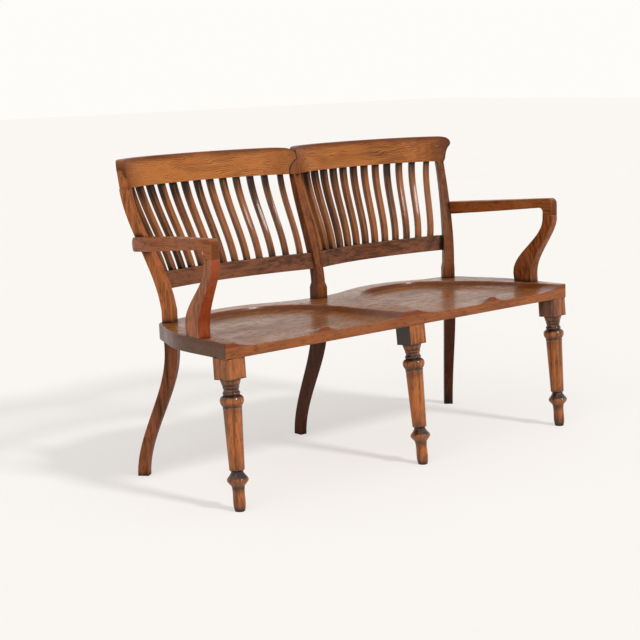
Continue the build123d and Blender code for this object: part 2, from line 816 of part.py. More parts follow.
with BuildPart() as arm:
    with BuildSketch(Plane.XY.offset(arm_joint_height - arm_rear_height)):
        with BuildLine():
            outer = Spline(*[(arm_outer_x * reach, front_y + arm_rear_depth * back)
                             for reach, back in arm_outer_shares])
            inner = Spline(*[(arm_outer_x * reach, front_y + arm_rear_depth * back)
                             for reach, back in arm_inner_shares])
            Line(outer @ 0, inner @ 0)
            Polyline(outer @ 1, (arm_outer_x * arm_tip_share, front_y + arm_rear_depth), inner @ 1)
        make_face()
    extrude(amount=2 * arm_rear_height + overrun)
    nose_depth = arm_front_depth + arm_nose_radius
    knuckle_rear = arm_front_depth + arm_knuckle_depth
    throat_top = arm_joint_height + arm_knuckle_drop
    knuckle_foot = arm_joint_height - 2 * arm_edge_round
    with BuildSketch(Plane.YZ):
        with BuildLine():
            front = Line(arm_side_point(arm_front_depth, knuckle_foot),
                         arm_side_point(arm_front_depth, arm_front_top - arm_nose_radius))
            nose = TangentArc(front @ 1, arm_side_point(nose_depth, arm_front_top), tangent=front % 1)
            top = Line(nose @ 1, arm_side_point(arm_rear_depth - arm_rear_height / 2, arm_rear_top))
            rear_foot = arm_rear_top - arm_rear_height
            rear = Spline(top @ 1, arm_side_point(arm_rear_depth, arm_rear_top - arm_rear_height / 2),
                          arm_side_point(arm_rear_depth - arm_rear_height / 2, rear_foot))
            front_foot = arm_front_top - arm_front_height
            under = Spline(rear @ 1,
                           arm_side_point(arm_middle_depth, front_foot - arm_middle_drop),
                           arm_side_point(knuckle_rear + arm_throat_radius, front_foot))
            inset = arm_throat_radius * arm_throat_share
            throat = Spline(under @ 1,
                            arm_side_point(knuckle_rear + inset, throat_top + arm_throat_radius - inset),
                            arm_side_point(knuckle_rear, throat_top))
            Polyline(throat @ 1, arm_side_point(knuckle_rear, knuckle_foot), front @ 0)
        make_face()
    extrude(amount=seat_half_width + overrun, mode=Mode.INTERSECT)
    fillet(arm.edges(), arm_edge_round)
    with BuildSketch(arm_dowel_plane):
        Rectangle(overrun + arm_front_width, overrun + arm_knuckle_depth)
    extrude(amount=-2 * arm_edge_round, mode=Mode.SUBTRACT)
    add(outer_post_blank(glue_gap), mode=Mode.SUBTRACT)
    two_way_hole(arm_dowel_plane, arm_dowel_radius, arm_dowel_length)
    extrude(round_face(arm_screw_plane(), screw_shank_radius + glue_gap),
            amount=arm_screw_length + glue_gap, mode=Mode.SUBTRACT)

save(arm, "arm_right")
save_mirrored(arm, "arm_left")


# Seat

def seat_points(shares):
    """Points of an outline in the plane of the seat, measured from the middle of its front edge."""
    return [(seat_half_width * out, seat_depth * back) for out, back in shares]


def mixed_points(first, last, share):
    return seat_points([(mix(a, c, share), mix(b, d, share)) for (a, b), (c, d) in zip(first, last)])


def pommel_points(shares):
    return [(pommel_x_share + out, back) for out, back in shares]


with BuildPart() as hollow:
    levels = []
    for share, rise in hollow_wall_shares:
        with BuildSketch(seat_top.offset(hollow_depth * (rise - 1))) as level:
            with BuildLine():
                bowl = Spline(*mixed_points(hollow_floor_shares, hollow_rim_shares, share))
                pommel = Spline(*mixed_points(pommel_points(pommel_floor_shares),
                                              pommel_points(pommel_rim_shares), share))
                Line(bowl @ 1, pommel @ 0)
                Line(pommel @ 1, bowl @ 0)
            make_face()
        levels.append(level.sketch)
    loft(levels)

with BuildPart() as seat:
    with BuildSketch(seat_top) as board:
        with BuildLine():
            right_side = seat_points(seat_outline_shares)
            left_side = [(-x, depth) for x, depth in reversed(right_side[:-1])]
            outline = Spline(*right_side, *left_side)
            Line(outline @ 1, outline @ 0)
        make_face()
        fillet(board.vertices(), seat_corner_round)
    extrude(amount=-seat_thickness)
    fillet(seat.faces().filter_by(seat_top).edges(), seat_edge_round)
    add(hollow.part, mode=Mode.SUBTRACT)
    add(mirror(hollow.part, about=Plane.YZ, mode=Mode.PRIVATE), mode=Mode.SUBTRACT)
    for side in (-1, 1):
        for x, depth, radius, length in (
                (side * outer_post_x, outer_post_depth, post_tenon_radius, post_tenon_length),
                (side * support_base_x, support_base_depth, support_tenon_radius, support_tenon_length)):
            extrude(round_face(seat_tenon_plane(x, depth), radius + glue_gap),
                    amount=length + glue_gap, mode=Mode.SUBTRACT)
        extrude(round_face(rear_leg_head_plane(side * outer_post_x, rear_leg_depth),
                           leg_tenon_radius + glue_gap),
                amount=leg_tenon_length + glue_gap, mode=Mode.SUBTRACT)
    extrude(round_face(seat_tenon_plane(0, centre_post_depth), post_tenon_radius + glue_gap),
            amount=post_tenon_length + glue_gap, mode=Mode.SUBTRACT)
    extrude(round_face(rear_leg_head_plane(0, centre_rear_leg_depth), leg_tenon_radius + glue_gap),
            amount=leg_tenon_length + glue_gap, mode=Mode.SUBTRACT)
    for side in front_leg_spots:
        extrude(round_face(leg_tenon_plane(side), leg_tenon_radius + glue_gap),
                amount=2 * leg_tenon_length + glue_gap, mode=Mode.SUBTRACT)

save(seat, "seat")


# Hidden fastenings

for plane, radius, length, name in (
        (keystone_dowel_plane(), crest_dowel_radius, crest_dowel_length, "keystone_dowels"),
        (post_dowel_plane(), crest_dowel_radius, crest_dowel_length, "crest_dowels"),
        (arm_dowel_plane, arm_dowel_radius, arm_dowel_length, "arm_dowels")):
    with BuildPart() as dowels:
        extrude(round_face(plane, radius), amount=length / 2, both=True)
        mirror(about=Plane.YZ)
    save(dowels, name)

with BuildPart() as arm_screws:
    extrude(round_face(arm_screw_plane(), screw_head_radius), amount=screw_head_height)
    extrude(round_face(arm_screw_plane(), screw_shank_radius), amount=arm_screw_length)
    mirror(about=Plane.YZ)

save(arm_screws, "arm_screws")
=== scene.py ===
"""Dressed scene of an old waxed oak settee: two chair backs over one long saddled seat.

X runs across the settee, Y from front to back and Z up, in metres, with the floor at zero.
"""

import logging
import math
from dataclasses import dataclass, field, replace
from enum import Enum

import bpy
import numpy as np
from mathutils import Matrix, Vector


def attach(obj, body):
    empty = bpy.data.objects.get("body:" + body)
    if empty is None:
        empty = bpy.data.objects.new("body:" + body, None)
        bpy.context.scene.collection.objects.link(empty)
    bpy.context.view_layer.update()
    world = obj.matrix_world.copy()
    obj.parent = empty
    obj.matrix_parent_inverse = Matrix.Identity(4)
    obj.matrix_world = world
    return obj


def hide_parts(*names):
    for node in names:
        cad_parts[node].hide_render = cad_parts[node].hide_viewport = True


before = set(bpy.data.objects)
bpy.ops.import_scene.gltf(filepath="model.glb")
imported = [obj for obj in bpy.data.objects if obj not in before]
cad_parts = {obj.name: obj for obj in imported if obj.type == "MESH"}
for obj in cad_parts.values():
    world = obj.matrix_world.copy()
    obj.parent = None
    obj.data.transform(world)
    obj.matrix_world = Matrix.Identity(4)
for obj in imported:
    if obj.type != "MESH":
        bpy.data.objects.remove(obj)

log = logging.getLogger("settee")

Triple = tuple[float, float, float]
Band = tuple[float, float]
# Y of the seat's front edge, from which depths are measured.
FRONT_Y = -0.2878
# Which way along X each side lies.
SIDES = {"left": -1.0, "right": 1.0}


class Run(Enum):
    """The way that the grain runs in a piece, as the turn that brings it onto X."""

    ACROSS = (0.0, 0.0, 0.0)
    DEEP = (0.0, 0.0, -math.pi / 2)
    UPRIGHT = (0.0, math.pi / 2, 0.0)


def shade_of(red: int, green: int, blue: int) -> tuple[float, float, float, float]:
    """A colour given in display steps of 0 to 255, as the linear colour that shaders take.

    Args:
        red: Display step of red.
        green: Display step of green.
        blue: Display step of blue.

    Returns:
        Linear red, green and blue, and an alpha of 1.
    """
    shares = np.array([red, green, blue]) / 255
    linear = np.where(shares <= 0.04045, shares / 12.92, ((shares + 0.055) / 1.055) ** 2.4)
    return (*linear.tolist(), 1.0)


def ease(value: np.ndarray, low: float, high: float) -> np.ndarray:
    """An S-curve that rises from 0 at low to 1 at high: t squared times (3 - 2t).

    Args:
        value: Values to ease.
        low: Where the curve starts to rise.
        high: Where it has risen to 1.

    Returns:
        The eased values, 0 to 1.
    """
    share = np.clip((np.asarray(value, float) - low) / (high - low), 0, 1)
    return share * share * (3 - 2 * share)


@dataclass(frozen=True)
class Noise:
    """Soft noise in clouds that are stretched along the axes.

    stretch is the number of clouds to the metre along each axis, and detail the octaves of finer noise.
    A mask of the noise rises from 0 to 1 over band. An uneven strength is the noise times gain, plus base.
    """

    stretch: Triple
    detail: float
    band: Band = (0.0, 1.0)
    gain: float = 1.0
    base: float = 0.0


class Tree:
    """Places and links the nodes of one node tree."""

    def __init__(self, tree: bpy.types.NodeTree) -> None:
        """Takes the tree to be filled."""
        self.tree = tree

    def add(self, kind: str, settings: dict | None = None, inputs: dict | None = None) -> bpy.types.Node:
        """Places a node.

        Args:
            kind: Blender's name for the kind of node, without its ShaderNode prefix.
            settings: Attributes to set on the node.
            inputs: Values or output sockets for its inputs, by name or number.

        Returns:
            The new node.
        """
        node = self.tree.nodes.new("ShaderNode" + kind)
        for key, value in (settings or {}).items():
            setattr(node, key, value)
        for key, value in (inputs or {}).items():
            self.feed(node.inputs[key], value)
        return node

    def feed(self, socket: bpy.types.NodeSocket, value: object) -> None:
        """Links an output to an input, or sets the input's own value."""
        if isinstance(value, bpy.types.NodeSocket):
            self.tree.links.new(value, socket)
        else:
            socket.default_value = value

    def sum(self, operation: str, *terms: object, clamp: bool = False) -> bpy.types.NodeSocket:
        """One step of arithmetic.

        Args:
            operation: The operation's name, such as MULTIPLY.
            *terms: Numbers or output sockets.
            clamp: Whether the result is held between 0 and 1.

        Returns:
            The result's socket.
        """
        node = self.add("Math", {"operation": operation, "use_clamp": clamp}, dict(enumerate(terms)))
        return node.outputs[0]

    def eased(self, value: object, low: float, high: float) -> bpy.types.NodeSocket:
        """An S-curve that rises from 0 at low to 1 at high."""
        node = self.add("MapRange", {"interpolation_type": "SMOOTHSTEP"},
                        {"Value": value, "From Min": low, "From Max": high})
        return node.outputs["Result"]

    def blend(self, share: object, first: object, second: object) -> bpy.types.NodeSocket:
        """A colour between two others.

        Args:
            share: How far the result goes from the first to the second.
            first: The first colour.
            second: The second colour.

        Returns:
            The blended colour's socket.
        """
        node = self.add("Mix", {"data_type": "RGBA"})
        self.feed(node.inputs[0], share)
        self.feed(node.inputs[6], first)
        self.feed(node.inputs[7], second)
        return node.outputs[2]

    def clouds(self, place: object, noise: Noise) -> bpy.types.NodeSocket:
        """Soft noise, with a mean of about a half.

        Args:
            place: The position's socket.
            noise: The noise.

        Returns:
            The noise's value socket.
        """
        scaled = self.add("VectorMath", {"operation": "MULTIPLY"}, {0: place, 1: noise.stretch})
        made = self.add("TexNoise", {"noise_dimensions": "3D"}, {
            "Vector": scaled.outputs[0], "Scale": 1.0, "Detail": noise.detail, "Roughness": 0.55})
        return made.outputs[0]

    def spots(self, place: object, noise: Noise) -> bpy.types.NodeSocket:
        """A mask that rises over the noise's band."""
        return self.eased(self.clouds(place, noise), *noise.band)

    def uneven(self, place: object, noise: Noise) -> bpy.types.NodeSocket:
        """A strength that varies with the noise, by its gain and base."""
        return self.sum("MULTIPLY_ADD", self.clouds(place, noise), noise.gain, noise.base)

    def around_zero(self, noise: object) -> bpy.types.NodeSocket:
        """Noise of 0 to 1 moved to between -0.5 and 0.5."""
        return self.sum("SUBTRACT", noise, 0.5)

    def object_place(self) -> tuple[bpy.types.NodeSocket, bpy.types.NodeOutputs]:
        """Position in the object, as its socket and as its three parts."""
        seen = self.add("TexCoord").outputs["Object"]
        return seen, self.add("SeparateXYZ", {}, {0: seen}).outputs

    def normal_part(self, axis: str) -> bpy.types.NodeSocket:
        """The surface normal's part along one axis, which is 1 where the surface looks along it."""
        normal = self.add("NewGeometry").outputs["Normal"]
        return self.add("SeparateXYZ", {}, {0: normal}).outputs[axis]

    def give(self, leave: bpy.types.Node, results: dict[str, bpy.types.NodeSocket]) -> None:
        """Links each result to the group output of its name."""
        for label, result in results.items():
            self.feed(leave.inputs[label], result)


def new_group(name: str, inputs: dict[str, str],
              outputs: dict[str, str]) -> tuple[Tree, bpy.types.Node, bpy.types.Node]:
    """Starts a node group with named sockets.

    Args:
        name: The group's name.
        inputs: Kind of each input socket, by name.
        outputs: Kind of each output socket, by name.

    Returns:
        The tree, its input node and its output node.
    """
    group = bpy.data.node_groups.new(name, "ShaderNodeTree")
    for label, kind in inputs.items():
        group.interface.new_socket(name=label, in_out="INPUT", socket_type="NodeSocket" + kind)
    for label, kind in outputs.items():
        group.interface.new_socket(name=label, in_out="OUTPUT", socket_type="NodeSocket" + kind)
    tree = Tree(group)
    return tree, group.nodes.new("NodeGroupInput"), group.nodes.new("NodeGroupOutput")


@dataclass(frozen=True)
class Figure:
    """Oak's figure, for a position whose X runs along the grain.

    The rings are the fraction of the distance from a wavering pith line over the ring spacing. The
    streaks, pores, flecks and mottle are noise stretched along the grain.
    """

    waver: Noise = Noise((12, 16, 16), 1)
    ripple: Noise = Noise((110, 60, 60), 1)
    ripple_share: float = 0.12
    ripple_least: float = 0.0012
    pith_tilt: Triple = (0.0, 0.045, 0.03)
    ring_fade: float = 0.62
    streaks: Noise = Noise((6, 105, 105), 5, band=(0.34, 0.66))
    pores: Noise = Noise((34, 900, 900), 1, band=(0.54, 0.68))
    pores_between_rings: float = 0.3
    flecks: Noise = Noise((38, 210, 210), 2, band=(0.56, 0.63))
    mottle: Noise = Noise((4.5, 11, 11), 3)
    ring_sink: float = 0.35
    pore_sink: float = 0.6

    def build(self) -> None:
        """Makes the node group oak_figure."""
        tree, enter, leave = new_group(
            "oak_figure",
            {"Place": "Vector", "Ring Spacing": "Float", "Waviness": "Float", "Flecks": "Float"},
            {label: "Float" for label in ("Rings", "Streaks", "Pores", "Mottle", "Height")})
        place, waviness = enter.outputs["Place"], enter.outputs["Waviness"]
        waver = tree.sum("MULTIPLY", tree.around_zero(tree.clouds(place, self.waver)), waviness)
        ripple = tree.sum("MULTIPLY", tree.around_zero(tree.clouds(place, self.ripple)),
                          tree.sum("MULTIPLY_ADD", waviness, self.ripple_share, self.ripple_least))
        tilted = tree.add("Mapping", {}, {"Vector": place, "Rotation": self.pith_tilt})
        parts = tree.add("SeparateXYZ", {}, {0: tilted.outputs[0]})
        across = tree.add("CombineXYZ", {}, {1: parts.outputs["Y"], 2: parts.outputs["Z"]})
        reach = tree.add("VectorMath", {"operation": "LENGTH"}, {0: across.outputs[0]}).outputs["Value"]
        distance = tree.sum("ADD", tree.sum("ADD", reach, waver), ripple)
        phase = tree.sum("FRACT", tree.sum("DIVIDE", distance, enter.outputs["Ring Spacing"]))
        rings = tree.sum("SUBTRACT", 1.0, tree.eased(phase, 0.0, self.ring_fade))
        in_rings = tree.sum("MULTIPLY_ADD", rings, 1 - self.pores_between_rings, self.pores_between_rings)
        flecks = tree.sum("MULTIPLY", tree.spots(place, self.flecks), enter.outputs["Flecks"])
        pores = tree.sum("MAXIMUM", tree.sum("MULTIPLY", tree.spots(place, self.pores), in_rings), flecks)
        sunk = tree.sum("MULTIPLY_ADD", rings, -self.ring_sink, 1.0)
        tree.give(leave, {
            "Rings": rings, "Streaks": tree.spots(place, self.streaks), "Pores": pores,
            "Mottle": tree.clouds(place, self.mottle),
            "Height": tree.sum("SUBTRACT", sunk, tree.sum("MULTIPLY", pores, self.pore_sink))})


@dataclass(frozen=True)
class WearAndHighlight:
    """Where hands and cloth have worn the edges paler, which also serves as painted highlights along them.

    The mask grows with the turn between the real normal and the one that a rounded edge would have.
    """

    samples: int = 4
    turn: Band = (0.015, 0.15)
    patches: Noise = Noise((22, 45, 45), 3, band=(0.3, 0.6))

    def build(self) -> None:
        """Makes the node group worn_edge_and_highlight."""
        tree, enter, leave = new_group("worn_edge_and_highlight", {"Place": "Vector", "Radius": "Float"},
                                       {"Mask": "Float", "Normal": "Vector"})
        bevel = tree.add("Bevel", {"samples": self.samples}, {"Radius": enter.outputs["Radius"]})
        geometry = tree.add("NewGeometry")
        likeness = tree.add("VectorMath", {"operation": "DOT_PRODUCT"},
                            {0: bevel.outputs[0], 1: geometry.outputs["Normal"]})
        # Edges go paler where the rounded normal turns from the real one: worn wood, with painted
        # highlights along the arrises.
        turned = tree.eased(tree.sum("SUBTRACT", 1.0, likeness.outputs["Value"]), *self.turn)
        patches = tree.spots(enter.outputs["Place"], self.patches)
        tree.give(leave, {"Mask": tree.sum("MULTIPLY", turned, patches), "Normal": bevel.outputs[0]})


@dataclass(frozen=True)
class DirtAndShade:
    """Old wax and dust with painted shade: black in the joints and inner corners, partly dust and partly
    painted shade, and a soft brown painted shade some way out from them.

    Both masks grow with how shut in a place is, one within the reach and the other within the spread.
    """

    joint_samples: int = 5
    joint_shut: Band = (0.06, 0.5)
    near_joint_shade_samples: int = 4
    near_joint_shade_shut: Band = (0.12, 0.7)
    patches: Noise = Noise((30, 60, 60), 2, gain=0.9, base=0.5)

    def build(self) -> None:
        """Makes the node group joint_dirt_and_shade."""
        tree, enter, leave = new_group(
            "joint_dirt_and_shade", {"Place": "Vector", "Reach": "Float", "Spread": "Float"},
            {"Mask": "Float", "Near Joint Shade": "Float"})
        patches = tree.uneven(enter.outputs["Place"], self.patches)
        # Ambient occlusion darkens the places that neighbouring parts shut in: in the joints, old wax and
        # dust with painted shade, and further out painted shade alone.
        for label, within, samples, band in (
                ("Mask", "Reach", self.joint_samples, self.joint_shut),
                ("Near Joint Shade", "Spread", self.near_joint_shade_samples, self.near_joint_shade_shut)):
            hidden = tree.add("AmbientOcclusion", {"samples": samples},
                              {"Distance": enter.outputs[within]})
            shut = tree.eased(tree.sum("SUBTRACT", 1.0, hidden.outputs["AO"]), *band)
            tree.give(leave, {label: tree.sum("MULTIPLY", shut, patches, clamp=True)})


@dataclass(frozen=True)
class Tone:
    """Colour and roughness of waxed oak from its figure, its worn edges with painted highlights, and its
    joints' grime with painted shade.
    """

    masks: tuple[str, ...] = ("Rings", "Streaks", "Pores", "Mottle", "WearAndHighlight", "DirtAndShade", "Shade")
    strengths: tuple[str, ...] = ("Ring Strength", "Streak Strength", "Mottle Strength", "Gloss")
    colours: tuple[str, ...] = ("Pale", "Deep", "Pore", "Worn And Highlight", "Dark")
    pore_colour: float = 0.75
    worn_and_highlight_colour: float = 0.7
    mottle_rough: float = 0.25
    pore_rough: float = 0.18
    dirt_and_shade_rough: float = 0.25

    def build(self) -> None:
        """Makes the node group oak_tone."""
        tree, enter, leave = new_group(
            "oak_tone", {**{label: "Float" for label in self.masks + self.strengths},
                         **{label: "Color" for label in self.colours}},
            {"Color": "Color", "Roughness": "Float"})
        get = enter.outputs
        rings = tree.sum("MULTIPLY", get["Rings"], get["Ring Strength"])
        streaks = tree.sum("MULTIPLY", tree.around_zero(get["Streaks"]), get["Streak Strength"])
        mottle = tree.sum("MULTIPLY", tree.around_zero(get["Mottle"]), get["Mottle Strength"])
        depth = tree.sum("ADD", tree.sum("ADD", rings, streaks), tree.sum("ADD", mottle, get["Shade"]),
                         clamp=True)
        wood = tree.blend(depth, get["Pale"], get["Deep"])
        wood = tree.blend(tree.sum("MULTIPLY", get["Pores"], self.pore_colour), wood, get["Pore"])
        # Worn edges go paler, which also paints highlights along them.
        wood = tree.blend(tree.sum("MULTIPLY", get["WearAndHighlight"], self.worn_and_highlight_colour), wood, get["Worn And Highlight"])
        # Joints go dark: old wax and grime, with painted shade.
        wood = tree.blend(get["DirtAndShade"], wood, get["Dark"])
        rough = tree.sum("ADD", get["Gloss"], tree.sum("MULTIPLY", mottle, self.mottle_rough))
        rough = tree.sum("ADD", rough, tree.sum("MULTIPLY", get["Pores"], self.pore_rough))
        rough = tree.sum("ADD", rough, tree.sum("MULTIPLY", get["DirtAndShade"], self.dirt_and_shade_rough), clamp=True)
        tree.give(leave, {"Color": wood, "Roughness": rough})


@dataclass(frozen=True)
class OakFinish:
    """Waxed oak of one colour and figure.

    Colours are in display steps. shade darkens the whole piece, and the strength after it paints shade on
    the stretches near its joints. edge is the radius of its worn edges, which are also painted paler as
    highlights.
    reach and spread are how far the black of old wax, grime and painted shade, and the brown painted
    shade, go from a joint.
    """

    pale: Triple
    deep: Triple
    pore: Triple = (52, 28, 15)
    # Paler colour of worn edges, which also paints highlights along them.
    worn_and_highlight: Triple = (186, 128, 78)
    dark: Triple = (26, 15, 9)
    ring_spacing: float = 0.0042
    waviness: float = 0.012
    flecks: float = 0.6
    ring_strength: float = 0.55
    streak_strength: float = 0.6
    mottle_strength: float = 1.7
    shade: float = 0.1
    near_joint_shade: float = 0.55
    gloss: float = 0.42
    sheen: float = 0.1
    coat: float = 0.12
    coat_rough: float = 0.12
    edge: float = 0.0035
    reach: float = 0.016
    spread: float = 0.07
    relief: float = 0.35
    relief_height: float = 0.0006
    end: Triple = (66, 30, 14)
    end_facing: Band = (0.6, 0.92)
    end_strength: float = 0.65

    def material(self, name: str, run: Run | None, shift: Triple = (0.0, 0.0, 0.0)) -> bpy.types.Material:
        """Makes the material of one piece.

        Args:
            name: The material's name.
            run: The way of the grain on a frame piece, or None where the piece carries its own grain.
            shift: Where in the tree the piece was cut, in metres.

        Returns:
            The material.
        """
        made = bpy.data.materials.new(name)
        made.use_nodes = True
        made.node_tree.nodes.clear()
        tree = Tree(made.node_tree)
        place, shade = self.place(tree, run, shift)
        figure = self.group(tree, "oak_figure", {"Place": place, "Ring Spacing": self.ring_spacing,
                                                 "Waviness": self.waviness, "Flecks": self.flecks})
        wear_and_highlight = self.group(tree, "worn_edge_and_highlight", {"Place": place, "Radius": self.edge})
        dirt_and_shade = self.group(tree, "joint_dirt_and_shade",
                          {"Place": place, "Reach": self.reach, "Spread": self.spread})
        # Painted shade: near the joints the wood darkens towards its deep colour, where neighbouring parts
        # shut out the light.
        shade = tree.sum("MULTIPLY_ADD", dirt_and_shade.outputs["Near Joint Shade"], self.near_joint_shade, shade)
        # The joint mask darkens the wood to its dark colour: old wax and grime, with painted shade.
        tone = self.group(tree, "oak_tone", {
            **{label: figure.outputs[label] for label in ("Rings", "Streaks", "Pores", "Mottle")},
            "WearAndHighlight": wear_and_highlight.outputs["Mask"], "DirtAndShade": dirt_and_shade.outputs["Mask"], "Shade": shade,
            "Ring Strength": self.ring_strength, "Streak Strength": self.streak_strength,
            "Mottle Strength": self.mottle_strength, "Gloss": self.gloss,
            "Pale": shade_of(*self.pale), "Deep": shade_of(*self.deep), "Pore": shade_of(*self.pore),
            "Worn And Highlight": shade_of(*self.worn_and_highlight), "Dark": shade_of(*self.dark)})
        bump = tree.add("Bump", {}, {
            "Strength": self.relief, "Distance": self.relief_height,
            "Height": figure.outputs["Height"], "Normal": wear_and_highlight.outputs["Normal"]})
        colour = self.marks_and_shade(tree, self.end_grain(tree, tone.outputs["Color"], run))
        shader = tree.add("BsdfPrincipled", {}, {
            "Base Color": colour, "Roughness": tone.outputs["Roughness"],
            "Specular IOR Level": self.sheen, "Normal": bump.outputs[0],
            "Coat Weight": self.coat, "Coat Roughness": self.coat_rough})
        tree.add("OutputMaterial", {}, {"Surface": shader.outputs[0]})
        return made

    def place(self, tree: Tree, run: Run | None, shift: Triple) -> tuple[bpy.types.NodeSocket, object]:
        """Position along the grain and the shade, from the frame or from the piece's own attributes.

        Args:
            tree: The material's tree.
            run: The way of the grain, or None for the piece's own attributes.
            shift: Where in the tree the piece was cut.

        Returns:
            The position's socket, and the shade's number or socket.
        """
        if run is None:
            own = tree.add("Attribute", {"attribute_name": "grain"})
            tint = tree.add("Attribute", {"attribute_name": "shade"})
            return own.outputs["Vector"], tree.sum("ADD", tint.outputs["Fac"], self.shade)
        seen = tree.add("TexCoord").outputs["Object"]
        turned = tree.add("Mapping", {}, {"Vector": seen, "Rotation": run.value, "Location": shift})
        return turned.outputs[0], self.shade

    def group(self, tree: Tree, name: str, inputs: dict) -> bpy.types.Node:
        """Places a shared node group with this finish's values."""
        return tree.add("Group", {"node_tree": bpy.data.node_groups[name]}, inputs)

    def end_grain(self, tree: Tree, colour: bpy.types.NodeSocket,
                  run: Run | None) -> bpy.types.NodeSocket:
        """Darkens the faces that cut across the grain, by how far they look along it.

        Args:
            tree: The material's tree.
            colour: The wood's colour.
            run: The way of the grain, or None for a piece whose ends are hidden.

        Returns:
            The colour's socket.
        """
        if run is None:
            return colour
        axis = {Run.ACROSS: "X", Run.DEEP: "Y", Run.UPRIGHT: "Z"}[run]
        facing = tree.eased(tree.sum("ABSOLUTE", tree.normal_part(axis)), *self.end_facing)
        return tree.blend(tree.sum("MULTIPLY", facing, self.end_strength), colour, shade_of(*self.end))

    def marks_and_shade(self, tree: Tree, colour: bpy.types.NodeSocket) -> bpy.types.NodeSocket:
        """Adds a finish's own marks, and any painted shade, to the wood's colour; the plain finish has
        none.
        """
        return colour


@dataclass(frozen=True)
class KeystoneFinish(OakFinish):
    """Oak of the crest rails and centre post: joint lines round the keystone, and a darker top and ends.

    foot, height and half_width are the keystone's. outer and top are the bands over which the brown of the
    outer ends and of the top rises, and inner the one over which that beside the keystone falls.
    """

    umber: Triple = (92, 44, 18)
    foot: float = 0.811
    height: float = 0.046
    half_width: float = 0.022
    taper_power: float = 2.2
    joint_line: Band = (0.0006, 0.0026)
    joint_strength: float = 0.85
    outer: Band = (0.52, 0.64)
    outer_strength: float = 0.7
    top: Band = (0.868, 0.889)
    top_strength: float = 0.75
    inner: Band = (0.02, 0.11)
    inner_strength: float = 0.35
    patches: Noise = Noise((9, 30, 30), 3, gain=1.4, base=0.3)

    def marks_and_shade(self, tree: Tree, colour: bpy.types.NodeSocket) -> bpy.types.NodeSocket:
        """Draws the joint, half the width times 1 less a power of the share of the height.

        The top edge, the outer ends and the stretch beside the keystone are browner.

        Args:
            tree: The material's tree.
            colour: The wood's colour.

        Returns:
            The colour with its joint lines.
        """
        seen, parts = tree.object_place()
        reach = tree.sum("ABSOLUTE", parts["X"])
        brown = tree.sum("MAXIMUM",
                         tree.sum("MULTIPLY", tree.eased(reach, *self.outer), self.outer_strength),
                         tree.sum("MULTIPLY", tree.eased(parts["Z"], *self.top), self.top_strength))
        beside = tree.sum("SUBTRACT", 1.0, tree.eased(reach, *self.inner))
        brown = tree.sum("MAXIMUM", brown, tree.sum("MULTIPLY", beside, self.inner_strength))
        brown = tree.sum("MULTIPLY", brown, tree.uneven(seen, self.patches), clamp=True)
        colour = tree.blend(brown, colour, shade_of(*self.umber))
        rise = tree.sum("DIVIDE", tree.sum("SUBTRACT", parts["Z"], self.foot), self.height, clamp=True)
        taper = tree.sum("SUBTRACT", 1.0, tree.sum("POWER", rise, self.taper_power))
        off = tree.sum("SUBTRACT", reach, tree.sum("MULTIPLY", taper, self.half_width))
        line = tree.sum("SUBTRACT", 1.0, tree.eased(tree.sum("ABSOLUTE", off), *self.joint_line))
        line = tree.sum("MULTIPLY", line, tree.sum("GREATER_THAN", parts["Z"], self.foot))
        return tree.blend(tree.sum("MULTIPLY", line, self.joint_strength), colour, shade_of(*self.dark))


